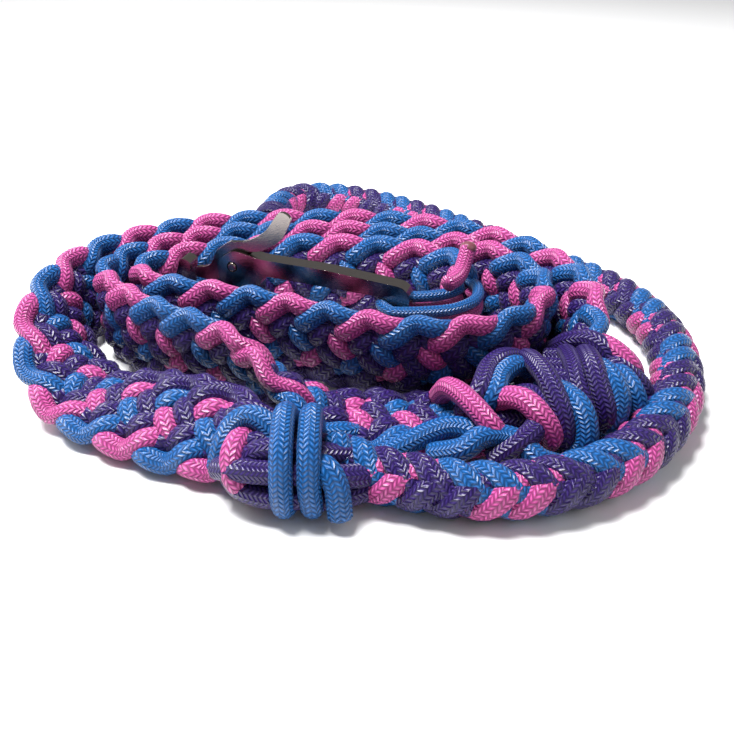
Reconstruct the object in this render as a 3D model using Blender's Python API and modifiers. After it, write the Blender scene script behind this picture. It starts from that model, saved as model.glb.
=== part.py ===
"""Braided lead rope, coiled for storage, with a trigger snap on its end.

Eight cord legs make the rope: a wide flat plait for most of its length, knotted at the front and at
the side, and a round plait for the rest.  Four folded cords hold the end bar of the snap.
Units are millimetres in the tables and metres in the scene.  +Z is up.
"""
import math

import bmesh
import bpy
from mathutils import Matrix, Vector

MM = 0.001

# ---- driving dimensions (mm) ----
CORD = 4.4                    # diameter of one cord as plaited
FLAT_WIDTH = 26.0             # flat plait, edge to edge
FLAT_THICK = 8.5              # flat plait, face to face
ROUND_WIDTH = 12.2            # round plait, diameter
GAP = 0.3                     # clearance between pieces that touch
STATION = 5.0                 # spacing of the sections along a plait
END_STEP = 0.5                # last step of a plait, which squares its end face
SMOOTH_STEPS = 16             # steps of the smooth curve between two points of a route
FRONT_TURN_POINTS = 11        # points of the inner turn before its last, leaning stretch

BIGHT_CORD = 3.2              # a cord pulled tight through the eye
SNAP_THICK = 4.6              # thickness of the snap's casting
EYE_HALF = 11.0               # half the height of the eye
BAR = 5.2                     # width of the end bar
BAR_PLACE = (8.4, -1.0, 14.0)     # centre of the end bar
SNAP_TURN = 164.2             # heading of the snap, from the end bar to the hook (degrees from +X)
SNAP_RISE = 3.7               # the hook end lies a little higher (degrees)
RIVET_PLACE = (45.8, 8.4)     # along the snap and up from its middle
RIVET_RADIUS = 1.2
SLOT = 2.8                    # width of the slot that holds the trigger
LEVER_THICK = 1.2             # thickness of the trigger's plate in the slot
THUMB_WIDTH = 4.2             # width of the trigger's thumb piece above the casting
LEVER_SIDE = 0.5              # how far the plate sits to one side, to leave room for the spring
SPRING_WIRE = 0.36            # wire of the trigger's spring
SPRING_RADIUS = 2.3           # middle of the wire, round the rivet
SPRING_SIDE = -0.6            # first turn's place across the snap
SPRING_REACH = 0.35           # how far across the snap the coil winds
SPRING_START = -40            # where its wire begins and how far it winds (degrees)
SPRING_SWEEP = 500
SPRING_POINTS = 28
WRAP_CORD = 5.2               # a cord wrapped over a knot, not pulled tight

# The coil's middle lies at the origin, seen from above.
COIL_MIDDLE = (-1.6, 28.4)

# Routes seen from above: x, y, and how far the coloured edge rises from lying outwards (degrees).
OUTER_TURN = [
    (-35, -42.5, -30), (-43, -38.8, -28), (-54, -32.5, -20), (-66, -24, -4), (-75.5, -13, 18),
    (-80.5, -1, 46), (-81.5, 10, 66), (-79, 21.5, 76), (-72, 31.5, 78), (-62, 39.8, 78),
    (-48.5, 46.8, 78), (-33, 50.3, 78), (-17, 51.2, 78), (-1, 50.8, 78), (14, 47.8, 78),
    (28.5, 42, 78), (41, 33, 78), (50.5, 20.5, 78), (55, 7, 77), (55, -6, 72)]
MIDDLE_TURN = [
    (22, -33.6, 0), (10, -34, 0), (-3, -33, 0), (-14, -29, 28), (-25, -23.5, 60),
    (-36, -18, 78), (-47, -12.5, 84), (-57, -5.5, 87), (-65.5, 3, 88), (-70, 12, 88),
    (-68.3, 20, 86), (-61.8, 27.3, 84), (-53, 34, 83), (-43, 38.3, 83), (-32, 40.6, 83),
    (-17, 41.5, 83), (-2, 41, 83), (12, 37.8, 83), (25, 32, 83), (36.5, 23, 82),
    (43.5, 12, 81), (44.5, 1, 80)]
INNER_TURN = [
    (44.5, 1, 80), (40.5, -9, 80), (31, -15.4, 77), (20, -17.8, 76), (7, -17, 77),
    (-5, -13, 80), (-17, -8, 83), (-29, -3.5, 86), (-41, 0, 88), (-51, 3.5, 88),
    (-58.5, 8.3, 88), (-60.7, 14.3, 87), (-55.9, 20.2, 85), (-47, 25.3, 80), (-37, 28.5, 75),
    (-24, 30.2, 72), (-10, 30.4, 72), (4, 29, 72), (15, 25.5, 76), (22.5, 20, 80), (26, 13, 84)]
ROUND_PLAIT = [
    (-7.6, -51.6, 8.6), (-1, -54.8, 6.6), (6.8, -57.6, 6.3), (20.8, -61.3, 6.3), (35.1, -60.3, 6.3),
    (49, -55, 6.3), (61, -45.2, 6.3), (72.5, -29, 6.3), (79, -10, 6.3), (80.5, 10, 6.3),
    (76, 28, 6.3), (66.5, 43, 6.3), (53.5, 58.5, 6.3), (39.5, 75, 6.3), (24.5, 92, 6.3),
    (9.5, 105.5, 6.3), (-7, 116, 6.3), (-22.7, 118.5, 6.3), (-31.5, 110, 6.6), (-34, 97, 7.0)]

# The cords folded round the snap's end bar: x, y of their legs.
NEAR_LEG = [(24.3, 11.6), (24.4, 8.2), (20.5, 5.0), (14.5, 3.4)]
FAR_LEG = [(28.1, 13.4), (29.6, 8.5), (28.2, 1.5), (22.5, -3.8), (15.5, -5.6)]

# Knots and ends: place, size and turn (degrees), or the line that a cord follows.
FRONT_KNOT_PLACE = (-21.5, -52.0, 7.1)
FRONT_KNOT_SIZE = (18.5, 11.0, 13.6)
FRONT_KNOT_TURN = -18
FRONT_KNOT_WRAPS = (("front_knot_wrap_left", -17.2), ("front_knot_wrap_right", -11.6))
WRAP_LINE = [(-46, 16.6), (-51, 17.9), (-56.5, 17.6), (-61.6, 15), (-64.4, 9.5), (-63.8, 4.2)]
FRONT_KNOT_TAIL = [(-6.2, -62.8, 10.5), (-5.6, -64.8, 6.5), (-5.2, -65.2, 3)]
SIDE_KNOT_PLACE = (50, -27, 10.8)
SIDE_KNOT_SIZE = (23, 18, 21)
SIDE_KNOT_TURN = -30
SIDE_LOOP_PLACE = (31.5, -38.2, 5.8)
SIDE_LOOP_SIZE = (12.5, 13.5, 11)
WHIPPING = [(-34.2, 96.5, 7), (-35.3, 88, 7)]
WHIPPING_WIDTH = 13.6
MELTED_ENDS = [(-35.35, 87.6, 7), (-36.2, 81, 7)]
MELTED_WIDTH = 11.4
EYE_TAIL = [(20.8, 1.4, 24.0), (23.2, 4.6, 24.0), (24.8, 7.8, 24.7), (25.8, 10.2, 26.4), (26.9, 12.8, 29.2)]

PINK = (0.80, 0.19, 0.50)
BLUE = (0.01, 0.26, 0.62)
PURPLE = (0.09, 0.03, 0.33)
GUNMETAL = (0.16, 0.14, 0.13)


# ---- scene, materials and collections ----

def clear_scene():
    for item in list(bpy.data.objects):
        bpy.data.objects.remove(item, do_unlink=True)


def new_collection(name):
    group = bpy.data.collections.new(name)
    bpy.context.scene.collection.children.link(group)
    return group


def paint(obj, colour, roughness, metallic=0.0):
    mat = bpy.data.materials.new(obj.name + "_material")
    mat.use_nodes = True
    shader = mat.node_tree.nodes["Principled BSDF"]
    shader.inputs["Base Color"].default_value = (*colour, 1.0)
    shader.inputs["Roughness"].default_value = roughness
    shader.inputs["Metallic"].default_value = metallic
    obj.data.materials.clear()
    obj.data.materials.append(mat)


def place(point):
    """A point of the tables, in metres, with the coil's middle at the origin."""
    return Vector(((point[0] - COIL_MIDDLE[0]) * MM, (point[1] - COIL_MIDDLE[1]) * MM, point[2] * MM))


# ---- smooth routes ----

def smooth(points, steps=SMOOTH_STEPS):
    """Points along the smooth curve through the given ones (Catmull-Rom)."""
    rows = [Vector(p) for p in points]
    out = []
    for i in range(len(rows) - 1):
        before = rows[max(i - 1, 0)]
        start = rows[i]
        end = rows[i + 1]
        after = rows[min(i + 2, len(rows) - 1)]
        for k in range(steps):
            t = k / steps
            out.append(0.5 * (2 * start + (end - before) * t
                              + (2 * before - 5 * start + 4 * end - after) * t ** 2
                              + (3 * start - before - 3 * end + after) * t ** 3))
    out.append(rows[-1])
    return out


def distances(points):
    """Distance run along the line at each point, seen from above."""
    run = [0.0]
    for a, b in zip(points, points[1:]):
        run.append(run[-1] + (b - a).to_2d().length)
    return run


def at(points, run, want):
    k = 0
    while k < len(run) - 2 and run[k + 1] < want:
        k += 1
    return points[k].lerp(points[k + 1], (want - run[k]) / (run[k + 1] - run[k]))


def even(points, spacing, start=0.0, end=None):
    """Evenly spaced points along a stretch of the line."""
    run = distances(points)
    end = run[-1] if end is None else end
    count = max(2, round((end - start) / spacing))
    return [at(points, run, start + (end - start) * i / count) for i in range(count + 1)]


def even3(points, spacing):
    """Evenly spaced points along a line that also rises and falls."""
    run = [0.0]
    for a, b in zip(points, points[1:]):
        run.append(run[-1] + (b - a).length)
    count = max(2, round(run[-1] / spacing))
    return [at(points, run, run[-1] * i / count) for i in range(count + 1)]


def squared(points, spacing, start, end):
    """The same, with a short last step at each end that turns the end face square to the line."""
    run = distances(points)
    ends = at(points, run, start), at(points, run, end)
    return [ends[0]] + even(points, spacing, start + END_STEP, end - END_STEP) + [ends[1]]


def rest_height(lean):
    """Height of the section's middle when its rounded lower edge rests on the ground."""
    return (FLAT_WIDTH - FLAT_THICK) / 2 * abs(math.sin(lean)) + FLAT_THICK / 2


# ---- cords and plaits ----

def flat_profile(guides):
    """Cross-section of the flat plait: a flat bar with round edges."""
    half = (FLAT_WIDTH - FLAT_THICK) / 2
    radius = FLAT_THICK / 2
    outline = []
    for side in (1, -1):
        for k in range(5):
            angle = math.radians(-90 + 45 * k)
            outline.append((side * (half + radius * math.cos(angle)), side * radius * math.sin(angle)))
    outline.reverse()
    curve = bpy.data.curves.new("flat_profile", "CURVE")
    curve.dimensions = "2D"
    spline = curve.splines.new("POLY")
    spline.points.add(len(outline) - 1)
    for point, (x, y) in zip(spline.points, outline):
        point.co = (x * MM, y * MM, 0, 1)
    spline.use_cyclic_u = True
    obj = bpy.data.objects.new("flat_profile", curve)
    obj.hide_render = True
    obj.display_type = "WIRE"
    guides.objects.link(obj)
    return obj


def flat_plait(name, stations, profile, group, colour):
    curve = bpy.data.curves.new(name, "CURVE")
    curve.dimensions = "3D"
    curve.twist_mode = "Z_UP"
    curve.bevel_mode = "OBJECT"
    curve.bevel_object = profile
    curve.use_fill_caps = True
    spline = curve.splines.new("POLY")
    spline.points.add(len(stations) - 1)
    for point, row in zip(spline.points, stations):
        lean = math.radians(row.z)
        point.co = (*place((row.x, row.y, rest_height(lean))), 1)
        point.tilt = lean
    obj = bpy.data.objects.new(name, curve)
    group.objects.link(obj)
    paint(obj, colour, 0.45)
    return obj


def tube(name, points, diameter, group, colour, resolution=2):
    curve = bpy.data.curves.new(name, "CURVE")
    curve.dimensions = "3D"
    curve.bevel_depth = diameter / 2 * MM
    curve.bevel_resolution = resolution
    curve.use_fill_caps = True
    spline = curve.splines.new("POLY")
    spline.points.add(len(points) - 1)
    for point, row in zip(spline.points, points):
        point.co = (*place(row), 1)
    obj = bpy.data.objects.new(name, curve)
    group.objects.link(obj)
    paint(obj, colour, 0.45)
    return obj


def lump(name, middle, size, turn, group, colour):
    """A knot's outer shape: a soft-edged block from a coarse cage."""
    bpy.ops.mesh.primitive_cube_add(size=1, location=place(middle), rotation=(0, 0, math.radians(turn)))
    obj = bpy.context.object
    obj.name = name
    obj.data.name = name
    for vertex in obj.data.vertices:
        vertex.co = Vector([v * s * MM for v, s in zip(vertex.co, size)])
    bevel = obj.modifiers.new("soft_edges", "BEVEL")
    bevel.width = min(size) * 0.3 * MM
    bevel.segments = 3
    for holder in obj.users_collection:
        holder.objects.unlink(obj)
    group.objects.link(obj)
    paint(obj, colour, 0.45)
    return obj


# ---- the snap ----

def snap_matrix():
    heading = math.radians(SNAP_TURN)
    rise = math.radians(SNAP_RISE)
    along = Vector((math.cos(heading) * math.cos(rise), math.sin(heading) * math.cos(rise), math.sin(rise)))
    across = Vector((-math.sin(heading), math.cos(heading), 0))
    up = along.cross(across)
    frame = Matrix((along, across, up)).transposed().to_4x4()
    frame.translation = place(BAR_PLACE)
    return frame


def rounded(corners, steps=4):
    """Polygon with each corner (x, z, radius) replaced by an arc."""
    out = []
    count = len(corners)
    for i, (x, z, radius) in enumerate(corners):
        here = Vector((x, z))
        back = (Vector(corners[i - 1][:2]) - here).normalized()
        ahead = (Vector(corners[(i + 1) % count][:2]) - here).normalized()
        half = back.angle(ahead) / 2
        reach = radius / math.tan(half)
        middle = here + (back + ahead).normalized() * radius / math.sin(half)
        start = here + back * reach - middle
        end = here + ahead * reach - middle
        sweep = start.angle_signed(end)
        for k in range(steps + 1):
            turn = -sweep * k / steps
            out.append(middle + Vector((start.x * math.cos(turn) - start.y * math.sin(turn),
                                        start.x * math.sin(turn) + start.y * math.cos(turn))))
    return out


def plate(name, outlines, thickness, frame, group, edge=0.5):
    """A flat casting lying in the snap's plane: outlines in x (along) and z (up), rounded edges."""
    curve = bpy.data.curves.new(name, "CURVE")
    curve.dimensions = "2D"
    curve.fill_mode = "BOTH"
    curve.extrude = thickness / 2 * MM
    for outline in outlines:
        spline = curve.splines.new("POLY")
        spline.points.add(len(outline) - 1)
        for point, (x, z) in zip(spline.points, outline):
            point.co = (x * MM, z * MM, 0, 1)
        spline.use_cyclic_u = True
    source = bpy.data.objects.new(name + "_outline", curve)
    group.objects.link(source)
    bpy.context.view_layer.update()
    mesh = bpy.data.meshes.new_from_object(source.evaluated_get(bpy.context.evaluated_depsgraph_get()))
    bpy.data.objects.remove(source)
    obj = bpy.data.objects.new(name, mesh)
    group.objects.link(obj)
    weld(mesh)
    stand_up = Matrix.Rotation(math.radians(90), 4, "X")
    mesh.transform(stand_up)
    obj.matrix_world = frame
    if edge:
        bevel = obj.modifiers.new("rounded_edges", "BEVEL")
        bevel.width = edge * MM
        bevel.segments = 2
        bevel.limit_method = "ANGLE"
        bevel.angle_limit = math.radians(50)
    return obj


def weld(mesh):
    work = bmesh.new()
    work.from_mesh(mesh)
    bmesh.ops.remove_doubles(work, verts=work.verts, dist=0.00001)
    bmesh.ops.recalc_face_normals(work, faces=work.faces)
    work.to_mesh(mesh)
    work.free()


def cross_pin(name, radius, length, frame, group, segments=24):
    """A round pin across the snap, through the rivet's place."""
    bpy.ops.mesh.primitive_cylinder_add(vertices=segments, radius=radius * MM, depth=length * MM)
    obj = bpy.context.object
    obj.name = name
    obj.data.name = name
    obj.data.transform(Matrix.Rotation(math.radians(90), 4, "X"))
    obj.matrix_world = frame @ Matrix.Translation((RIVET_PLACE[0] * MM, 0, RIVET_PLACE[1] * MM))
    for holder in obj.users_collection:
        holder.objects.unlink(obj)
    group.objects.link(obj)
    return obj


def cut(obj, cutter):
    boolean = obj.modifiers.new("cut_" + cutter.name, "BOOLEAN")
    boolean.operation = "DIFFERENCE"
    boolean.solver = "EXACT"
    boolean.object = cutter
    cutter.hide_render = True
    cutter.display_type = "WIRE"


def join(obj, other):
    boolean = obj.modifiers.new("join_" + other.name, "BOOLEAN")
    boolean.operation = "UNION"
    boolean.solver = "EXACT"
    boolean.object = other
    other.hide_render = True
    other.display_type = "WIRE"


def snap_body(frame, group, cutters):
    half = EYE_HALF
    outer = rounded([
        (-BAR / 2, -half, 3.5), (20, -half - 0.7, 30), (43, -half, 6), (55, -half + 1.0, 8),
        (61.8, -7.4, 6), (62.6, 2, 5), (60.8, 8.6, 1.2), (57.8, 7.4, 1.2), (58.6, 0, 3),
        (57, -5.2, 3), (50.2, -5.2, 2.5), (49.2, 3, 2), (50.4, 9.5, 3), (45.5, half + 2.2, 4),
        (38, half + 0.9, 8), (20, half + 1.1, 40), (-BAR / 2, half, 3.5)])
    window = rounded([
        (BAR / 2, -half + 3.8, 2), (38.8, -half + 3.8, 3), (37.8, half - 3.6, 3), (BAR / 2, half - 3.6, 2)])
    body = plate("snap_body", [outer, window], SNAP_THICK, frame, group)
    slot_outline = rounded([(41, 0.4, 0.5), (54, 0.4, 0.5), (54, 20, 0.5), (41, 20, 0.5)])
    slot = plate("trigger_slot", [slot_outline], SLOT, frame, cutters, edge=0)
    cut(body, slot)
    cut(body, cross_pin("rivet_hole", RIVET_RADIUS + GAP, 20, frame, cutters))
    paint(body, GUNMETAL, 0.15, 1.0)
    return body


def trigger(frame, group, cutters):
    outline = rounded([
        (42.4, 5.6, 2.2), (48.4, 4.6, 2.0), (52, 2.8, 4), (57.3, 3.0, 1.0), (57.2, 6.0, 1.0),
        (52.6, 6.6, 4), (50.8, 11.8, 2.0), (47, 15.0, 3), (41, 15.6, 12), (36.5, 20.0, 10),
        (33.2, 25.6, 1.7), (29.6, 24.4, 1.7), (32.5, 17.5, 8), (38.0, 13.6, 8), (42.4, 12.8, 0.6)])
    lever = plate("snap_trigger", [outline], LEVER_THICK, frame, group, edge=0.25)
    lever.data.transform(Matrix.Translation((0, LEVER_SIDE * MM, 0)))
    cut(lever, cross_pin("lever_hole", RIVET_RADIUS + GAP, 20, frame, cutters))
    thumb = rounded([
        (46.4, 14.5, 0.8), (46.0, 15.3, 0.8), (41, 15.8, 12), (36.6, 20.1, 10), (33.2, 25.8, 1.8),
        (29.4, 24.4, 1.8), (32.6, 17.5, 8), (37.8, 14.5, 4)])
    join(lever, plate("thumb_piece", [thumb], THUMB_WIDTH, frame, cutters, edge=0.6))
    paint(lever, GUNMETAL, 0.15, 1.0)
    return lever


def rivet(frame, group):
    pin = cross_pin("trigger_rivet", RIVET_RADIUS, SNAP_THICK + 1.0, frame, group)
    bevel = pin.modifiers.new("domed_ends", "BEVEL")
    bevel.width = 0.4 * MM
    bevel.segments = 2
    bevel.limit_method = "ANGLE"
    paint(pin, GUNMETAL, 0.2, 1.0)
    return pin


def snap(group, cutters):
    frame = snap_matrix()
    swing = bpy.data.objects.new("snap_swing_axis", None)
    group.objects.link(swing)
    swing.matrix_world = frame
    hinge = bpy.data.objects.new("trigger_hinge_axis", None)
    group.objects.link(hinge)
    hinge.matrix_world = frame @ Matrix.Translation((RIVET_PLACE[0] * MM, 0, RIVET_PLACE[1] * MM))
    body = snap_body(frame, group, cutters)
    lever = trigger(frame, group, cutters)
    pin = rivet(frame, group)
    bpy.context.view_layer.update()
    for child, parent in ((body, swing), (pin, swing), (lever, hinge), (hinge, swing)):
        world = child.matrix_world.copy()
        child.parent = parent
        child.matrix_world = world


# ---- the four folded cords at the eye ----

def bights(group):
    """Each cord comes from the end of the flat plait, goes round the end bar and back."""
    frame = snap_matrix()
    colours = (("purple_bight_low", PURPLE), ("purple_bight_high", PURPLE),
               ("pink_bight", PINK), ("blue_bight", BLUE))
    pitch = BIGHT_CORD + GAP
    bend = math.hypot(BAR, SNAP_THICK) / 2 + BIGHT_CORD / 2
    middle = Vector(COIL_MIDDLE)
    for row, (name, colour) in enumerate(colours):
        up = (row - 1.5) * pitch + 0.1
        arc = []
        for k in range(9):
            angle = math.radians(-90 + 22.5 * k)
            arc.append((bend * math.cos(angle), bend * math.sin(angle), up))
        local = [frame @ (Vector(p) * MM) / MM for p in arc]
        world = [Vector((p.x + middle.x, p.y + middle.y, p.z)) for p in local]
        height = world[0].z
        legs_near = [(x, y, height) for x, y in NEAR_LEG]
        legs_far = [(x, y, height) for x, y in FAR_LEG]
        route = smooth(legs_far + world[::-1] + legs_near[::-1], 3)
        tube(name, even(route, 2.4), BIGHT_CORD, group, colour)


def knots(group):
    """The knots where the plait changes, the whipped far end and the loose cord ends."""
    lump("front_knot", FRONT_KNOT_PLACE, FRONT_KNOT_SIZE, FRONT_KNOT_TURN, group, PURPLE)
    for name, x in FRONT_KNOT_WRAPS:
        wrap = [(x, y, z) for y, z in WRAP_LINE]
        tube(name, even3(smooth(wrap), WRAP_CORD / 2), WRAP_CORD, group, BLUE)
    tube("front_knot_tail", FRONT_KNOT_TAIL, CORD, group, BLUE)
    lump("side_knot", SIDE_KNOT_PLACE, SIDE_KNOT_SIZE, SIDE_KNOT_TURN, group, PURPLE)
    lump("side_knot_loop", SIDE_LOOP_PLACE, SIDE_LOOP_SIZE, 0, group, BLUE)
    tube("end_whipping", WHIPPING, WHIPPING_WIDTH, group, PURPLE)
    tube("melted_cord_ends", MELTED_ENDS, MELTED_WIDTH, group, PURPLE)
    tube("eye_tail", EYE_TAIL, CORD, group, PINK)


def trigger_spring(group):
    """A torsion coil beside the lever's root, round the rivet."""
    frame = snap_matrix()
    curve = bpy.data.curves.new("trigger_spring", "CURVE")
    curve.dimensions = "3D"
    curve.bevel_depth = SPRING_WIRE / 2 * MM
    curve.bevel_resolution = 1
    curve.use_fill_caps = True
    count = SPRING_POINTS
    spline = curve.splines.new("POLY")
    spline.points.add(count)
    for k, point in enumerate(spline.points):
        angle = math.radians(SPRING_START + SPRING_SWEEP * k / count)
        local = ((RIVET_PLACE[0] + SPRING_RADIUS * math.cos(angle)) * MM,
                 (SPRING_SIDE - SPRING_REACH * k / count) * MM,
                 (RIVET_PLACE[1] + SPRING_RADIUS * math.sin(angle)) * MM)
        point.co = (*(frame @ Vector(local)), 1)
    obj = bpy.data.objects.new("trigger_spring", curve)
    group.objects.link(obj)
    paint(obj, GUNMETAL, 0.3, 1.0)


def build():
    clear_scene()
    group = new_collection("lead_rope")
    cutters = new_collection("cutters")
    profile = flat_profile(cutters)
    outer = smooth(OUTER_TURN)
    stations = squared(outer, STATION, 0, distances(outer)[-1])
    flat_plait("flat_braid_outer_turn", stations, profile, group, BLUE)
    inside = smooth(MIDDLE_TURN + INNER_TURN[1:])
    run = distances(inside)
    middle_end = run[SMOOTH_STEPS * (len(MIDDLE_TURN) - 1)]
    inner_end = run[SMOOTH_STEPS * (len(MIDDLE_TURN) + FRONT_TURN_POINTS)]
    joins = [0.0, middle_end, inner_end, run[-1]]
    names = ("flat_braid_middle_turn", PURPLE), ("flat_braid_inner_turn", PINK), ("flat_braid_end", BLUE)
    for (name, colour), start, end in zip(names, joins, joins[1:]):
        flat_plait(name, squared(inside, STATION, start + GAP / 2, end - GAP / 2), profile, group, colour)
    tube("round_braid", even(smooth(ROUND_PLAIT), 7.0), ROUND_WIDTH, group, PURPLE, 3)
    snap(group, cutters)
    trigger_spring(group)
    bights(group)
    knots(group)


build()
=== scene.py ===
"""Looks of the coiled lead rope: every cord of its plaits and knots, the snap's finish, light and camera.

Units are millimetres in the tables and metres in the scene.  +Z is up.
"""

import math

import bpy
import numpy as np
from mathutils import Matrix, Vector


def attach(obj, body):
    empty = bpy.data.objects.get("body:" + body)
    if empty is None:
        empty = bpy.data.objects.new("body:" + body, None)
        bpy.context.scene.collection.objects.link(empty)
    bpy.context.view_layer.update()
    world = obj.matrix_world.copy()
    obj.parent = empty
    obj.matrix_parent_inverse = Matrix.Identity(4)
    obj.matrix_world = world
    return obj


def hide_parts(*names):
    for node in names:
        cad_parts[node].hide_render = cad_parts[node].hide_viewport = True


MM = 0.001

# ---- sizes (mm) ----
CORD = 5.4                    # width of one cord as plaited
CORD_THICK = 4.1              # its thickness, pressed by its neighbours
LOOSE_OVAL = 0.92             # thickness of a single cord, as a share of its width
FLAT_THICK = 8.5              # flat plait, face to face
FLAT_WIDTH = 26.0             # flat plait, edge to edge
FLAT_PITCH = 44.0             # length in which a cord of the flat plait goes across and back
FLAT_SWING = 8.1              # how far a pair of cords goes to each side
PAIR_REACH = 2.35             # half the distance between the two cords of a pair
FLAT_WEAVE = 1.9              # how far a pair goes to each face
WEAVE_CROSS = 2.5             # how quickly a pair changes face as it turns back
TURN_SHARPNESS = 0.6          # 0 turns back like a sine wave, 1 like a sharp corner
KNOT_NARROW = 0.4             # share of the swing left where the flat plait goes into a knot
KNOT_DRAW = 0.7               # 1 narrows evenly, less narrows mostly next to the knot
OUTER_NARROW = (15.0, 14.0)   # lengths in which the outer turn narrows at its start and its end
MIDDLE_NARROW = (12.0, 0.0)
BY_TURNS = ("pink", "blue", "pink", "blue")
IN_TWOS = ("pink", "pink", "blue", "blue")
ROUND_PITCH = 28.0            # length of one turn of the round plait
ROUND_RADIUS = 3.9            # middle of a cord from the middle of the round plait
ROUND_WEAVE = 0.7             # how far a cord goes in and out
ROUND_COLOURS = [             # the way round, and the cords that go that way
    (1, ("pink", "pink", "purple", "purple")), (-1, ("blue", "blue", "purple", "purple"))]
BIGHT_CORD = 3.2              # a cord pulled tight through the eye
TAIL_CORD = 4.4               # the pink cord's end by the eye
TIP_RADIUS = 2.3              # the melted bead on that end
TIP_FLAT = 0.75               # its height as a share of its width
BAR = 5.2                     # the snap's end bar
BAR_PLACE = (8.4, -1.0, 14.0)
SNAP_THICK = 4.6
SNAP_TURN = 164.2             # degrees round from +X
SNAP_RISE = 3.7               # degrees that its hook end is raised
GAP = 0.3                     # between the folded cords on the end bar
BIGHT_STACK_RAISE = 0.1       # middle of the four folded cords above the bar's
COIL_MIDDLE = (-1.6, 28.4)    # middle of the coil in the tables below, which is the scene's origin

# ---- steps along the lines ----
ROUTE_STEPS = 16              # between two places of a plait's route
CORD_STEPS = 12               # between two places of a single cord
CORD_SIDES = 12               # round a cord
BAND_STEP = 0.5               # mm along a flat plait's middle
FLAT_STEP = 0.7               # mm along its cords
ROUND_STEP = 0.6              # mm along the round plait
LOOSE_STEP = 0.7              # mm along a single cord
LOOSE_LEAST = 8               # places of a single cord, at least
ARC_STEPS = 8                 # round the end bar
WIND_STEPS = 12               # in each turn of the whipping
FIRST_FACING = (0.3, -0.5, 0.8)   # where a single cord's thin way points at its start

# ---- the camera and the lights ----
VIEW_HEIGHT = 30.0            # degrees above the ground
VIEW_DISTANCE = 231.0         # mm
VIEW_LENS = 41.93
VIEW_SENSOR = 36.0
VIEW_NEAR = 0.005             # metres
VIEW_FAR = 200.0
LIGHTS = [                    # name, place, size (metres), power (watts)
    ("key", (-0.20, 0.05, 0.7), 0.30, 14.0),
    ("fill", (0.6, -0.3, 0.6), 0.6, 1.5),
    ("back", (-0.65, 0.35, 0.45), 0.5, 4.0)]
LIGHTS_AIM = (0, 0, 0.01)
WORLD_LIGHT = 0.26
FLOOR_SIZE = 60.0             # metres
FLOOR_DROP = 0.0003

# ---- colours ----
PINK = (0.46, 0.055, 0.25)
BLUE = (0.0, 0.085, 0.30)
PURPLE = (0.018, 0.004, 0.10)
GLINTS = {"pink": 0.30, "blue": 0.16, "purple": 0.12}   # painted highlight: how much white the lightest picks take

# ---- the sheath's weave, with painted shade between the picks and painted highlights on them ----
PICK_COLUMNS = 14.0           # columns of picks round a cord, leaning each way by turns
PICK_ROWS = 1.05              # rows of picks in one millimetre
PICK_SLANT = 0.8              # how far a pick leans, in rows
PICK_PAINTED_SHADE = 0.42              # painted shade: colour between the picks, as a share of the cord's
PICK_PAINTED_HIGHLIGHT = 1.6              # painted highlight: colour on the tops of the picks
PICK_FULL = 0.6               # below 1 fills the picks out
GROOVE_FULL = 0.35            # below 1 narrows the grooves between the columns
GLINT_FOCUS = 4.0             # above 1 keeps the painted highlight to the tops of the picks
# painted highlight: the share of the glint's white, and the noise that breaks it up
GLINT_SHARE = 0.35
HIGHLIGHT_NOISE_SCALE = 260.0
HIGHLIGHT_NOISE_DETAIL = 3.0

# Routes seen from above, as in the CAD source: x, y, and how far the coloured edge rises (degrees).
OUTER_TURN = [
    (-35, -42.5, -30), (-43, -38.8, -28), (-54, -32.5, -20), (-66, -24, -4), (-75.5, -13, 18),
    (-80.5, -1, 46), (-81.5, 10, 66), (-79, 21.5, 76), (-72, 31.5, 78), (-62, 39.8, 78),
    (-48.5, 46.8, 78), (-33, 50.3, 78), (-17, 51.2, 78), (-1, 50.8, 78), (14, 47.8, 78),
    (28.5, 42, 78), (41, 33, 78), (50.5, 20.5, 78), (55, 7, 77), (55, -6, 72)]
MIDDLE_TURN = [
    (22, -33.6, 0), (10, -34, 0), (-3, -33, 0), (-14, -29, 28), (-25, -23.5, 60),
    (-36, -18, 78), (-47, -12.5, 84), (-57, -5.5, 87), (-65.5, 3, 88), (-70, 12, 88),
    (-68.3, 20, 86), (-61.8, 27.3, 84), (-53, 34, 83), (-43, 38.3, 83), (-32, 40.6, 83),
    (-17, 41.5, 83), (-2, 41, 83), (12, 37.8, 83), (25, 32, 83), (36.5, 23, 82),
    (43.5, 12, 81), (44.5, 1, 80)]
INNER_TURN = [
    (44.5, 1, 80), (40.5, -9, 80), (31, -15.4, 77), (20, -17.8, 76), (7, -17, 77),
    (-5, -13, 80), (-17, -8, 83), (-29, -3.5, 86), (-41, 0, 88), (-51, 3.5, 88),
    (-58.5, 8.3, 88), (-60.7, 14.3, 87), (-55.9, 20.2, 85), (-47, 25.3, 80), (-37, 28.5, 75),
    (-24, 30.2, 72), (-10, 30.4, 72), (4, 29, 72), (15, 25.5, 76), (22.5, 20, 80), (26, 13, 84)]
# The round plait's route: x, y, z.
ROUND_PLAIT = [
    (-7.6, -51.6, 8.6), (-1, -54.8, 6.6), (6.8, -57.6, 6.3), (20.8, -61.3, 6.3), (35.1, -60.3, 6.3),
    (49, -55, 6.3), (61, -45.2, 6.3), (72.5, -29, 6.3), (79, -10, 6.3), (80.5, 10, 6.3),
    (76, 28, 6.3), (66.5, 43, 6.3), (53.5, 58.5, 6.3), (39.5, 75, 6.3), (24.5, 92, 6.3),
    (9.5, 105.5, 6.3), (-7, 116, 6.3), (-22.7, 118.5, 6.3), (-31.5, 110, 6.6), (-34, 97, 7.0)]

# Where the flat plait draws together and goes into a knot, or comes out of one.
INTO_FRONT_KNOT = (-23, -49, -30)
INTO_SIDE_KNOT = (52.5, -17, 62)
FROM_SIDE_KNOT = (33, -34, 0)

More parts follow.
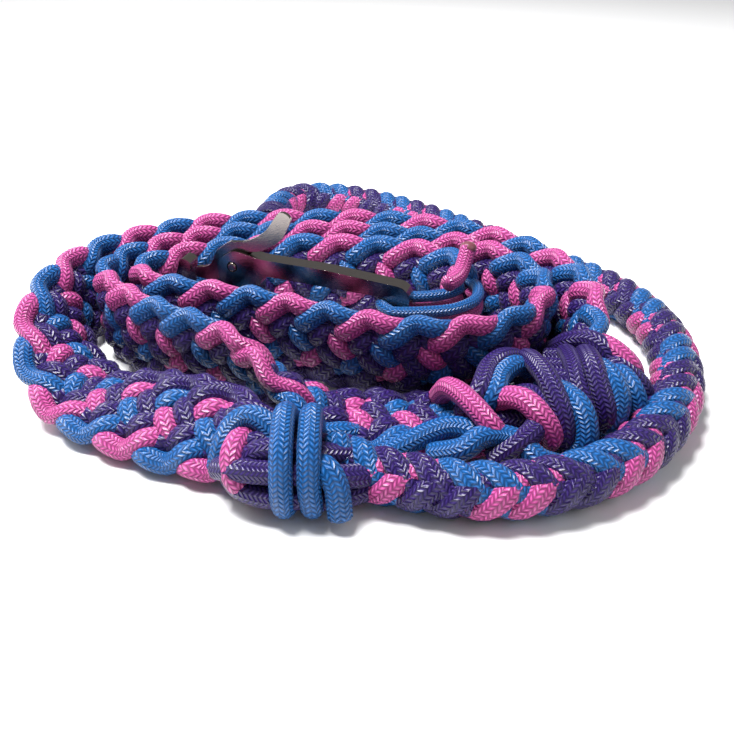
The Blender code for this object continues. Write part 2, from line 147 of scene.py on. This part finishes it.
# Single cords of the knots: the colour of each, and x, y, z of places along it.
FRONT_KNOT = [
    ("blue", [(-17.2, -42, 9), (-17.2, -45, 14), (-17.2, -51, 17.9), (-17.2, -56.5, 17.6),
        (-17.2, -61.6, 15), (-17.2, -64.4, 9.5), (-17.0, -63.8, 4.2), (-16, -59, 2.8)]),
    ("blue", [(-11.6, -43, 8), (-11.6, -45.5, 13), (-11.6, -51, 17.9), (-11.6, -56.5, 17.6),
        (-11.6, -61.6, 15), (-11.6, -64.4, 9.5), (-11.2, -63.8, 4.2), (-12, -59, 2.8)]),
    ("blue", [(-12, -58, 10), (-8.4, -61.6, 12.2), (-6.2, -64, 9.6), (-5.6, -65.2, 5.6),
        (-5.4, -65.4, 3)]),
    ("blue", [(-31.5, -53.5, 6), (-30.2, -52, 11), (-28.2, -49.5, 14.3), (-24.7, -49, 16.2),
        (-20.7, -51, 15.2), (-17.5, -54, 12)]),
    ("pink", [(-24, -48, 11), (-26.1, -52, 12.8), (-27.4, -56, 12.8), (-27.6, -58.6, 10.5),
        (-26.6, -60, 7.4), (-23, -59, 5)]),
    ("purple", [(-31, -56, 8), (-26.6, -59.6, 10.2), (-21, -61, 10.6), (-13.3, -61.5, 10.8),
        (-5.4, -61, 9.5), (1, -58, 8)]),
    ("purple", [(-29, -54, 4.6), (-25.6, -60, 5.6), (-19.7, -62.4, 5.4), (-12.4, -62.6, 5.4),
        (-5.5, -61.5, 4.6), (2, -58, 5)]),
    ("purple", [(-32, -50, 4), (-26, -56, 9.5), (-22, -57, 13), (-16, -57, 13.4), (-9, -56.5, 12),
        (-3, -54, 10)]),
    ("purple", [(-31, -46, 9), (-25, -53, 12), (-20, -52, 12.6), (-14, -51.6, 12), (-8, -51, 10)]),
    ("pink", [(-33, -47, 5), (-27, -52, 5), (-20, -54, 7), (-12, -54, 8), (-5, -53, 8)]),
    ("purple", [(-30, -42, 12), (-24, -47, 11), (-18, -48, 9), (-11, -48.5, 8), (-6, -50, 8)])]
SIDE_KNOT = [
    ("purple", [(45, -8, 8), (47.5, -12, 12.5), (49.6, -16, 16.6), (53.6, -19, 18.5), (56.9, -22, 16.8),
        (58.2, -24, 12), (54, -26, 8)]),
    ("pink", [(54.4, -9, 12), (55.6, -14, 15.4), (57.4, -20, 17.6), (60, -23, 16.8), (62.7, -25, 14.2),
        (63.6, -24, 9.5), (58, -22, 6)]),
    ("purple", [(48.4, -14, 10), (48.4, -19, 14.6), (48.2, -28, 16), (48.5, -34, 13.6), (50.9, -37, 8.5),
        (51, -34, 4)]),
    ("purple", [(52.6, -16, 13), (52.4, -22, 16.3), (52.0, -30, 17.6), (52.8, -35, 14.7),
        (54.4, -38, 9.6), (54, -36, 4)]),
    ("blue", [(52.6, -24, 12), (54.2, -27, 15.6), (56.2, -33, 15.6), (57.2, -36.6, 11.8),
        (55.6, -37.8, 7), (51, -35, 4)]),
    ("blue", [(56, -24, 11), (58.6, -27, 14), (60.8, -32, 12.9), (62, -34, 8.8), (60, -34, 4.6),
        (55, -31, 3)]),
    ("purple", [(55, -22, 12), (58.9, -25, 15), (63.7, -28, 11.6), (65.2, -28, 7.4), (61, -28, 3.6)]),
    ("blue", [(24, -36, 8), (28.3, -37, 14.0), (30.4, -32, 16), (34.2, -28, 16.5), (38.5, -25, 13.4),
        (40, -22, 8)]),
    ("purple", [(22, -36, 8), (25.6, -36, 14.6), (28.2, -30, 16.8), (31.6, -26, 17.2), (36, -22, 14.6),
        (38, -20, 9)]),
    ("pink", [(17, -28, 8), (18.6, -32, 12.9), (21, -37, 14.5), (23.9, -42, 13.9), (27.4, -45.5, 11),
        (31, -45, 6)]),
    ("pink", [(28, -35, 10), (31.1, -38, 14), (34.5, -41.4, 15.5), (37.8, -44.6, 13.4), (40.4, -45.6, 9),
        (40, -42, 4)]),
    ("purple", [(36, -20, 11), (37.8, -24, 16), (39.4, -32, 18), (41, -38.4, 16.8), (43, -43, 12.6),
        (43.6, -44, 7), (41, -40, 4)]),
    ("blue", [(40.5, -30, 12), (44, -36, 14.4), (46.6, -41.4, 14.3), (48, -44.6, 11), (47.6, -46, 6.6),
        (44, -43, 3.4)]),
    ("blue", [(14, -47, 5), (20.4, -49.4, 8), (24.5, -47.6, 9.9), (29, -46.6, 9.7), (33.1, -48, 9),
        (37, -51, 6.6), (42, -50, 4)]),
    ("blue", [(4, -46, 4), (9, -45, 6.4), (13.5, -43.4, 8), (18.6, -42.4, 9), (24.6, -43.6, 8.4),
        (29, -42, 5)]),
    ("purple", [(33, -32, 10), (36.4, -36, 13.6), (38.4, -40.6, 13.2), (36.4, -46, 11), (32, -49, 9),
        (27, -49.5, 5)]),
    ("purple", [(36, -26, 9), (42, -27, 12), (46, -30, 12), (50, -31, 10), (56, -30, 7)]),
    ("pink", [(36, -31, 6), (42, -33, 8), (47, -35, 9), (50, -37, 7), (52, -36, 3.6)]),
    ("purple", [(22, -33, 5), (27, -37, 8), (33, -39, 9), (40, -40, 8.6), (46, -40, 6)])]

# The CAD pieces that each knot's cords stand for.
FRONT_KNOT_NODES = ["front_knot", "front_knot_wrap_left", "front_knot_wrap_right", "front_knot_tail"]
SIDE_KNOT_NODES = ["side_knot", "side_knot_loop"]

# Purple cords side by side in layers inside the side knot.
CORE_MIDDLE = (50.0, -26.0)
CORE_TURN = -30.0             # degrees
CORE_LAYERS = 3
CORE_LANES = 3
CORE_HEIGHT = 3.6             # middle of the lowest layer
CORE_RISE = 4.6               # from layer to layer
CORE_ARCH = [(-10, -0.8), (-5, 0.4), (0, 1.0), (5, 0.4), (10, -0.8)]   # along the cord, and up

# The folded cords, lowest first: colour and the CAD piece that each stands for.
BIGHTS = [
    ("purple", "purple_bight_low"), ("purple", "purple_bight_high"),
    ("pink", "pink_bight"), ("blue", "blue_bight")]
BIGHT_NEAR_LEG = [(14.5, 3.4), (20.5, 5.0), (24.4, 8.2), (24.3, 11.6)]
BIGHT_FAR_LEG = [(28.1, 13.4), (29.6, 8.5), (28.2, 1.5), (22.5, -3.8), (15.5, -5.6)]
EYE_TAIL = [(20.8, 1.4, 24.0), (23.2, 4.6, 24.0), (24.8, 7.8, 24.7), (25.8, 10.2, 26.4), (26.9, 12.8, 29.2)]

# The far end: a thin cord wound round the plait, and the sealed ends that stand out past it.
END_FROM = (-34.2, 96.5, 7.0)
END_TO = (-35.3, 88.0, 7.0)
WIND_TURNS = 4
WIND_RADIUS = 5.4
WIND_CORD = 2.4
SEALED_COLOURS = ("pink", "blue", "purple", "purple", "pink", "blue", "purple", "purple")
SEALED_RADIUS = 3.6
SEALED_CORD = 3.2
SEALED_LENGTH = 6.0           # past the whipping
SEALED_DRAW = 0.95            # how much of the radius is left at the tips


# ---- lines ----

def place(points):
    """Rows of a millimetre table as places in the scene, in metres."""
    rows = np.asarray(points, float)
    return (rows - np.array([COIL_MIDDLE[0], COIL_MIDDLE[1], 0.0])) * MM


def smooth(rows, steps=ROUTE_STEPS):
    """A smooth line through all the rows, whatever their columns hold."""
    rows = np.asarray(rows, float)
    line = [rows[0]]
    for k in range(len(rows) - 1):
        a = rows[max(k - 1, 0)]
        b, c = rows[k], rows[k + 1]
        d = rows[min(k + 2, len(rows) - 1)]
        for step in range(1, steps + 1):
            t = step / steps
            line.append(0.5 * (2 * b + (c - a) * t + (2 * a - 5 * b + 4 * c - d) * t ** 2
                               + (3 * b - a - 3 * c + d) * t ** 3))
    return np.array(line)


def distances(points, columns=2):
    """How far along the line each point is, over its first two or three columns."""
    steps = np.linalg.norm(np.diff(points[:, :columns], axis=0), axis=1)
    return np.concatenate([[0.0], np.cumsum(steps)])


def resample(points, run, wanted):
    """The line's rows at the wanted distances."""
    return np.stack([np.interp(wanted, run, points[:, k]) for k in range(points.shape[1])], axis=1)


def unit(vectors):
    """The same directions, each one long."""
    return vectors / np.maximum(np.linalg.norm(vectors, axis=1, keepdims=True), 1e-9)


def level_left(along):
    """Level directions to the left of each direction along a line."""
    return unit(np.column_stack([-along[:, 1], along[:, 0], np.zeros(len(along))]))


# ---- cords ----

def sweep(name, lines, material, group, facing, width=CORD, thick=CORD_THICK):
    """One mesh of several cords, each an oval section carried along its line (metres).

    facing gives, for each line, the direction that the oval's thin way points.
    """
    verts, faces, loops_uv = [], [], []
    turn = 2 * np.pi * np.arange(CORD_SIDES) / CORD_SIDES
    across = np.cos(turn)[None, :, None] * width / 2 * MM
    through = np.sin(turn)[None, :, None] * thick / 2 * MM
    for line, normals in zip(lines, facing):
        along = unit(np.gradient(line, axis=0))
        normals = unit(normals - along * np.sum(normals * along, axis=1, keepdims=True))
        side = np.cross(along, normals)
        run = distances(line, 3) / MM
        start = len(verts)
        rings = line[:, None, :] + side[:, None, :] * across + normals[:, None, :] * through
        verts.extend(rings.reshape(-1, 3))
        count = len(line)
        for k in range(count - 1):
            for j in range(CORD_SIDES):
                a = start + k * CORD_SIDES + j
                b = start + k * CORD_SIDES + (j + 1) % CORD_SIDES
                faces.append((a, b, b + CORD_SIDES, a + CORD_SIDES))
                v0, v1 = j / CORD_SIDES, (j + 1) / CORD_SIDES
                loops_uv.extend(((run[k], v0), (run[k], v1), (run[k + 1], v1), (run[k + 1], v0)))
        for ring, way in ((0, -1), (count - 1, 1)):
            corners = range(CORD_SIDES)[::way]
            faces.append(tuple(start + ring * CORD_SIDES + j for j in corners))
            loops_uv.extend((run[ring], j / CORD_SIDES) for j in corners)
    mesh = bpy.data.meshes.new(name)
    mesh.from_pydata([tuple(v) for v in verts], [], faces)
    uv = mesh.uv_layers.new(name="weave")
    uv.data.foreach_set("uv", np.array(loops_uv, float).ravel())
    mesh.polygons.foreach_set("use_smooth", [True] * len(mesh.polygons))
    mesh.materials.append(material)
    obj = bpy.data.objects.new(name, mesh)
    group.objects.link(obj)
    return obj


def sweep_by_colour(name, cords, group, materials):
    """One mesh for each colour, from (colour, line, facing) of every cord; gives them by colour."""
    pieces = {}
    for colour in materials:
        lines = [line for cord, line, facing in cords if cord == colour]
        facings = [facing for cord, line, facing in cords if cord == colour]
        pieces[colour] = sweep(f"{name}_{colour}", lines, materials[colour], group, facings)
    return pieces


def rest_height(lean):
    """Height of a flat plait's middle where it stands on the ground, leaning by that much."""
    return (FLAT_WIDTH - FLAT_THICK) / 2 * np.abs(np.sin(lean)) + FLAT_THICK / 2


def band(rows):
    """Frames along a flat plait: middle, edge direction and face direction, at even distances."""
    line = smooth(rows)
    run = distances(line)
    even = np.arange(0.0, run[-1], BAND_STEP)
    line = resample(line, run, even)
    lean = np.radians(line[:, 2])
    middle = place(np.column_stack([line[:, :2], rest_height(lean)]))
    along = unit(np.gradient(middle, axis=0))
    up = np.array([0.0, 0.0, 1.0])
    edge = unit(level_left(along) * np.cos(lean)[:, None] + up * np.sin(lean)[:, None])
    face = unit(np.cross(along, edge))
    return even, middle, edge, face


def soft_triangle(angle):
    """A wave that goes straight across and turns softly at each side, from -1 to 1."""
    return np.arcsin(TURN_SHARPNESS * np.sin(angle)) / math.asin(TURN_SHARPNESS)


def drawn_in(distance, length):
    """Share of the swing left at that distance from the end of a plait that narrows over the length."""
    if not length:
        return 1.0
    return KNOT_NARROW + (1 - KNOT_NARROW) * np.clip(distance / length, 0, 1) ** KNOT_DRAW


def flat_plait(name, rows, colours, group, materials, start=0.0, stop=None, narrow=(0.0, 0.0)):
    """Eight cords in four pairs; the first of each pair is coloured, the second purple.

    narrow gives the lengths at the start and the end in which the plait draws together for a knot.
    """
    even, middle, edge, face = band(rows)
    stop = even[-1] if stop is None else stop
    s = np.arange(start, stop, FLAT_STEP)
    swing = FLAT_SWING * drawn_in(s - start, narrow[0]) * drawn_in(stop - s, narrow[1])
    cords = []
    for k, colour in enumerate(colours):
        angle = 2 * np.pi * s / FLAT_PITCH - k * np.pi / 2
        across = swing * soft_triangle(angle)
        slope = np.gradient(across, s)
        length = np.sqrt(1 + slope ** 2)
        lift = -FLAT_WEAVE * np.cos(4 * angle) * np.tanh(WEAVE_CROSS * np.cos(angle))
        for cord, sign in ((colour, 1.0), ("purple", -1.0)):
            at_s = np.clip(s - sign * slope * PAIR_REACH / length, even[0], even[-1])
            at_w = across + sign * PAIR_REACH / length
            m = resample(middle, even, at_s)
            e = resample(edge, even, at_s)
            f = resample(face, even, at_s)
            cords.append((cord, m + e * (at_w * MM)[:, None] + f * (lift * MM)[:, None], f))
    path = middle[(even >= start) & (even <= stop)]
    return sweep_by_colour(name, cords, group, materials), path


def round_plait(name, rows, group, materials):
    """Eight cords, four each way round, each over two and under two."""
    line = smooth(rows)
    run = distances(line, 3)
    even = np.arange(0.0, run[-1], ROUND_STEP)
    middle = place(resample(line, run, even))
    along = unit(np.gradient(middle, axis=0))
    side = level_left(along)
    up = np.cross(along, side)
    cords = []
    for way, colours in ROUND_COLOURS:
        for k, cord in enumerate(colours):
            angle = way * 2 * np.pi * (even / ROUND_PITCH + k / 4)
            radius = ROUND_RADIUS + way * ROUND_WEAVE * np.cos(2 * angle)
            out = side * np.cos(angle)[:, None] - up * np.sin(angle)[:, None]
            cords.append((cord, middle + out * (radius * MM)[:, None], out))
    return sweep_by_colour(name, cords, group, materials), middle


def loose_cord(name, rows, material, group, width=CORD):
    """A single cord through the given places (millimetres)."""
    line = smooth(rows, CORD_STEPS)
    run = distances(line, 3)
    even = np.linspace(0.0, run[-1], max(LOOSE_LEAST, int(run[-1] / LOOSE_STEP)))
    middle = place(resample(line, run, even))
    along = unit(np.gradient(middle, axis=0))
    facing = [np.array(FIRST_FACING)]
    for k in range(1, len(middle)):
        facing.append(facing[-1] - along[k] * np.dot(facing[-1], along[k]))
        facing[-1] /= max(np.linalg.norm(facing[-1]), 1e-6)
    return sweep(name, [middle], material, group, [np.array(facing)], width, width * LOOSE_OVAL)


def rope_piece(piece):
    """The piece moves with the rope."""
    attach(piece, "rope")


# ---- materials ----

def new_material(name):
    """An empty node material: itself, its nodes, its links and its shader."""
    material = bpy.data.materials.new(name)
    material.use_nodes = True
    nodes = material.node_tree.nodes
    return material, nodes, material.node_tree.links, nodes["Principled BSDF"]


def math_node(nodes, links, operation, *values):
    """A maths node whose inputs are numbers or other nodes' outputs."""
    node = nodes.new("ShaderNodeMath")
    node.operation = operation
    for socket, value in zip(node.inputs, values):
        if isinstance(value, (int, float)):
            socket.default_value = value
        else:
            links.new(value, socket)
    return node.outputs[0]


def mix_node(nodes, links, share, low, high):
    """A colour between two, each a colour or another node's output."""
    node = nodes.new("ShaderNodeMix")
    node.data_type = "RGBA"
    links.new(share, node.inputs[0])
    for socket, colour in ((node.inputs[6], low), (node.inputs[7], high)):
        if isinstance(colour, tuple):
            socket.default_value = (*colour, 1)
        else:
            links.new(colour, socket)
    return node.outputs[2]


def noise_node(nodes, scale, detail=2.0):
    """A noise that wanders from 0 to 1."""
    node = nodes.new("ShaderNodeTexNoise")
    node.inputs["Scale"].default_value = scale
    node.inputs["Detail"].default_value = detail
    return node.outputs["Fac"]


def add_bump(nodes, links, shader, height, strength, distance):
    """Relief on the shader's surface; the distance is in metres."""
    bump = nodes.new("ShaderNodeBump")
    bump.inputs["Strength"].default_value = strength
    bump.inputs["Distance"].default_value = distance
    links.new(height, bump.inputs["Height"])
    links.new(bump.outputs["Normal"], shader.inputs["Normal"])


def cord_material(name, colour, glint):
    """Woven nylon sheath: short picks in V rows, with painted highlights on the picks and painted shade
    between them.
    """
    material, nodes, links, shader = new_material(name)
    uv = nodes.new("ShaderNodeUVMap")
    uv.uv_map = "weave"
    split = nodes.new("ShaderNodeSeparateXYZ")
    links.new(uv.outputs["UV"], split.inputs[0])
    columns = math_node(nodes, links, "MULTIPLY", split.outputs["Y"], PICK_COLUMNS)
    zigzag = math_node(nodes, links, "PINGPONG", columns, 1.0)
    slant = math_node(nodes, links, "MULTIPLY", zigzag, PICK_SLANT)
    rows = math_node(nodes, links, "MULTIPLY", split.outputs["X"], PICK_ROWS)
    phase = math_node(nodes, links, "ADD", rows, slant)
    wave = math_node(nodes, links, "SINE", math_node(nodes, links, "MULTIPLY", phase, 2 * math.pi))
    pick = math_node(nodes, links, "MULTIPLY_ADD", wave, 0.5, 0.5)
    half_column = math_node(nodes, links, "PINGPONG", columns, 0.5)
    between = math_node(nodes, links, "MULTIPLY", half_column, 2.0)
    groove = math_node(nodes, links, "POWER", between, GROOVE_FULL)
    full = math_node(nodes, links, "POWER", pick, PICK_FULL)
    height = math_node(nodes, links, "MULTIPLY", full, groove)
    highlight_noise = noise_node(nodes, HIGHLIGHT_NOISE_SCALE, HIGHLIGHT_NOISE_DETAIL)
    # painted shade: the colour darkens between the picks and in the grooves between the columns
    painted_shade_colour = mix_node(nodes, links, height, tuple(c * PICK_PAINTED_SHADE for c in colour), colour)
    # painted highlight: the tops of the picks lightened towards white, broken up by noise
    painted_highlight_colour = tuple(min(1.0, c * PICK_PAINTED_HIGHLIGHT + glint * GLINT_SHARE) for c in colour)
    highlight_focus = math_node(nodes, links, "POWER", height, GLINT_FOCUS)
    painted_highlight_mask = math_node(nodes, links, "MULTIPLY", highlight_focus, highlight_noise)
    links.new(mix_node(nodes, links, painted_highlight_mask, painted_shade_colour, painted_highlight_colour), shader.inputs["Base Color"])
    add_bump(nodes, links, shader, height, 0.75, 0.00035)
    shader.inputs["Roughness"].default_value = 0.34
    shader.inputs["Sheen Weight"].default_value = 0.05
    shader.inputs["Sheen Roughness"].default_value = 0.4
    shader.inputs["Specular IOR Level"].default_value = 0.35
    return material


def melted_material():
    """Nylon melted to a dark bead."""
    material, nodes, links, shader = new_material("melted_nylon")
    tint = mix_node(nodes, links, noise_node(nodes, 900.0), (0.05, 0.012, 0.02), (0.20, 0.06, 0.08))
    links.new(tint, shader.inputs["Base Color"])
    shader.inputs["Roughness"].default_value = 0.3
    return material


def metal_material():
    """Polished dark plating with faint waves from casting."""
    material, nodes, links, shader = new_material("polished_gunmetal")
    waves = noise_node(nodes, 90.0, 4.0)
    gloss = nodes.new("ShaderNodeMapRange")
    gloss.inputs["To Min"].default_value = 0.06
    gloss.inputs["To Max"].default_value = 0.17
    links.new(waves, gloss.inputs["Value"])
    links.new(gloss.outputs["Result"], shader.inputs["Roughness"])
    tint = mix_node(nodes, links, waves, (0.20, 0.175, 0.165), (0.34, 0.30, 0.28))
    links.new(tint, shader.inputs["Base Color"])
    add_bump(nodes, links, shader, waves, 0.12, 0.0004)
    shader.inputs["Metallic"].default_value = 1.0
    return material


def floor_material():
    """Pale ground, nearly even."""
    material, nodes, links, shader = new_material("pale_floor")
    tint = mix_node(nodes, links, noise_node(nodes, 6.0), (0.86, 0.86, 0.87), (0.90, 0.90, 0.90))
    links.new(tint, shader.inputs["Base Color"])
    shader.inputs["Roughness"].default_value = 0.7
    return material


# ---- the rope ----

def declare_plait(pieces, nodes):
    """Attaches each colour's piece of a plait to the rope and hides the plait's CAD solids."""
    for colour, piece in pieces.items():
        rope_piece(piece)
    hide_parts(*nodes)


def build_rope(group, materials):
    """The three turns of the flat plait, which is one plait from the outside in, and the round plait."""
    outer_rows = [INTO_FRONT_KNOT, *OUTER_TURN, INTO_SIDE_KNOT]
    outer, outer_path = flat_plait("outer_turn", outer_rows, BY_TURNS, group, materials, narrow=OUTER_NARROW)
    middle_rows = [FROM_SIDE_KNOT, *MIDDLE_TURN]
    inside_rows = middle_rows + INNER_TURN[1:]
    join = float(distances(smooth(middle_rows))[-1])
    middle, middle_path = flat_plait("middle_turn", inside_rows, IN_TWOS, group, materials,
                                     stop=join, narrow=MIDDLE_NARROW)
    inner, inner_path = flat_plait("inner_turn", inside_rows, BY_TURNS, group, materials,
                                   start=join - BAND_STEP)
    plait, plait_path = round_plait("round_plait", ROUND_PLAIT, group, materials)
    declare_plait(outer, ["flat_braid_outer_turn"])
    declare_plait(middle, ["flat_braid_middle_turn"])
    declare_plait(inner, ["flat_braid_inner_turn", "flat_braid_end"])
    declare_plait(plait, ["round_braid"])


def build_knot(name, cords, nodes, group, materials):
    """The cords wound in a knot; the knot's CAD solids are hidden."""
    for index, (colour, rows) in enumerate(cords):
        piece = loose_cord(f"{name}_cord_{index + 1}", rows, materials[colour], group)
        rope_piece(piece)
        if index == 0:
            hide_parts(*nodes)


def build_core(group, materials):
    """Purple cords inside the side knot, side by side and in layers."""
    turn = math.radians(CORE_TURN)
    along = np.array([math.cos(turn), math.sin(turn)])
    aside = np.array([-along[1], along[0]])
    for layer in range(CORE_LAYERS):
        for lane in range(CORE_LANES):
            spot = np.array(CORE_MIDDLE) + aside * (lane - (CORE_LANES - 1) / 2) * CORD
            height = CORE_HEIGHT + CORE_RISE * layer
            rows = [(*(spot + along * reach), height + rise) for reach, rise in CORE_ARCH]
            piece = loose_cord(f"side_knot_core_{layer + 1}_{lane + 1}", rows, materials["purple"], group)
            rope_piece(piece)


def build_end(group, materials):
    """The far end: a cord wound round the plait, and the sealed ends of the cords."""
    start = np.array(END_FROM)
    stop = np.array(END_TO)
    along = (stop - start) / np.linalg.norm(stop - start)
    side = np.array([-along[1], along[0], 0.0])
    up = np.array([0, 0, 1])
    steps = WIND_TURNS * WIND_STEPS
    winding = []
    for k in range(steps + 1):
        angle = 2 * math.pi * k / WIND_STEPS
        out = side * math.cos(angle) + up * math.sin(angle)
        winding.append(tuple(start + (stop - start) * k / steps + WIND_RADIUS * out))
    wrap = loose_cord("end_whipping_cord", winding, materials["purple"], group, WIND_CORD)
    rope_piece(wrap)
    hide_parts("end_whipping")
    for index, colour in enumerate(SEALED_COLOURS):
        angle = 2 * math.pi * index / len(SEALED_COLOURS)
        out = SEALED_RADIUS * (side * math.cos(angle) + up * math.sin(angle))
        rows = [start + out, stop + out, stop + along * SEALED_LENGTH + out * SEALED_DRAW]
        end = loose_cord(f"sealed_end_{index + 1}", rows, materials[colour], group, SEALED_CORD)
        rope_piece(end)
        if index == 0:
            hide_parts("melted_cord_ends")


def snap_frame():
    """The snap's own frame: its end bar's middle, its length along X and its thin way along Z."""
    turn = Matrix.Rotation(math.radians(SNAP_TURN), 4, "Z")
    rise = Matrix.Rotation(math.radians(-SNAP_RISE), 4, "Y")
    return Matrix.Translation(Vector(place([BAR_PLACE])[0])) @ turn @ rise


def build_bights(group, materials):
    """The four cords folded round the snap's end bar."""
    bar = snap_frame()
    bend = math.hypot(BAR, SNAP_THICK) / 2 + BIGHT_CORD / 2
    for row, (colour, node) in enumerate(BIGHTS):
        up = (row - (len(BIGHTS) - 1) / 2) * (BIGHT_CORD + GAP) + BIGHT_STACK_RAISE
        arc = []
        for k in range(ARC_STEPS + 1):
            angle = math.pi * (k / ARC_STEPS - 0.5)
            spot = bar @ (Vector((bend * math.cos(angle), bend * math.sin(angle), up)) * MM) / MM
            arc.append((spot.x + COIL_MIDDLE[0], spot.y + COIL_MIDDLE[1], spot.z))
        height = arc[0][2]
        near = [(x, y, height) for x, y in BIGHT_NEAR_LEG]
        far = [(x, y, height) for x, y in BIGHT_FAR_LEG]
        piece = loose_cord("bight_" + node, far + arc[::-1] + near, materials[colour], group, BIGHT_CORD)
        rope_piece(piece)
        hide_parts(node)


def build_eye_tail(group, materials):
    """The pink cord's end that lies by the folded cords, with its melted tip."""
    tail = loose_cord("eye_tail_cord", EYE_TAIL, materials["pink"], group, TAIL_CORD)
    rope_piece(tail)
    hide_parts("eye_tail")
    bpy.ops.mesh.primitive_uv_sphere_add(segments=24, ring_count=12, radius=TIP_RADIUS * MM,
                                         location=place([EYE_TAIL[-1]])[0])
    tip = bpy.context.object
    tip.name = "melted_tip"
    tip.scale = (1, 1, TIP_FLAT)
    bpy.ops.object.transform_apply(location=False, rotation=False, scale=True)
    bpy.ops.object.shade_smooth()
    tip.data.materials.append(melted_material())
    rope_piece(tip)


# ---- snap, floor, light and camera ----

def plate_snap(nodes):
    """The snap's CAD pieces keep their shapes and get the plating."""
    plating = metal_material()
    for name in ("snap_body", "snap_trigger", "trigger_rivet", "trigger_spring"):
        nodes[name].data.materials.clear()
        nodes[name].data.materials.append(plating)


def stage_and_light(group):
    """The floor, the lamps and the even light from all round."""
    bpy.ops.mesh.primitive_plane_add(size=FLOOR_SIZE, location=(0, 0, -FLOOR_DROP))
    floor = bpy.context.object
    floor.name = "floor"
    floor.data.materials.append(floor_material())
    for name, spot, size, power in LIGHTS:
        data = bpy.data.lights.new(name, "AREA")
        data.energy = power
        data.size = size
        lamp = bpy.data.objects.new(name, data)
        lamp.location = spot
        lamp.rotation_euler = (Vector(LIGHTS_AIM) - Vector(spot)).to_track_quat("-Z", "Y").to_euler()
        group.objects.link(lamp)
    world = bpy.data.worlds.new("studio")
    world.use_nodes = True
    world.node_tree.nodes["Background"].inputs["Color"].default_value = (1, 1, 1, 1)
    world.node_tree.nodes["Background"].inputs["Strength"].default_value = WORLD_LIGHT
    bpy.context.scene.world = world


def camera(group):
    """Looks along +Y and down at the origin of the tables."""
    data = bpy.data.cameras.new("camera")
    data.lens = VIEW_LENS
    data.sensor_width = VIEW_SENSOR
    data.clip_start = VIEW_NEAR
    data.clip_end = VIEW_FAR
    eye = bpy.data.objects.new("camera", data)
    rise = math.radians(VIEW_HEIGHT)
    target = Vector(place([(0.0, 0.0, 0.0)])[0])
    eye.location = target + Vector((0, -math.cos(rise), math.sin(rise))) * VIEW_DISTANCE * MM
    eye.rotation_euler = (math.radians(90) - rise, 0, 0)
    group.objects.link(eye)
    bpy.context.scene.camera = eye
    bpy.context.scene.view_settings.view_transform = "Standard"


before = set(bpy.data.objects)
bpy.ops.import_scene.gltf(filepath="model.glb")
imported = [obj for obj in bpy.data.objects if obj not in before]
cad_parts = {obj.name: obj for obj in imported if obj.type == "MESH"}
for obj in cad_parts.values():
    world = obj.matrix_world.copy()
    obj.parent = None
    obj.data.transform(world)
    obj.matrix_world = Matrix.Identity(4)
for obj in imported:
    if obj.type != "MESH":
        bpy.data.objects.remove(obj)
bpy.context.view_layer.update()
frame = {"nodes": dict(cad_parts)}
looks = bpy.data.collections.new("looks")
bpy.context.scene.collection.children.link(looks)
cord_materials = {
    "pink": cord_material("pink_cord", PINK, GLINTS["pink"]),
    "blue": cord_material("blue_cord", BLUE, GLINTS["blue"]),
    "purple": cord_material("purple_cord", PURPLE, GLINTS["purple"])}
camera(looks)
build_rope(looks, cord_materials)
build_knot("front_knot", FRONT_KNOT, FRONT_KNOT_NODES, looks, cord_materials)
build_knot("side_knot", SIDE_KNOT, SIDE_KNOT_NODES, looks, cord_materials)
build_core(looks, cord_materials)
build_bights(looks, cord_materials)
build_eye_tail(looks, cord_materials)
build_end(looks, cord_materials)
plate_snap(frame["nodes"])
stage_and_light(looks)
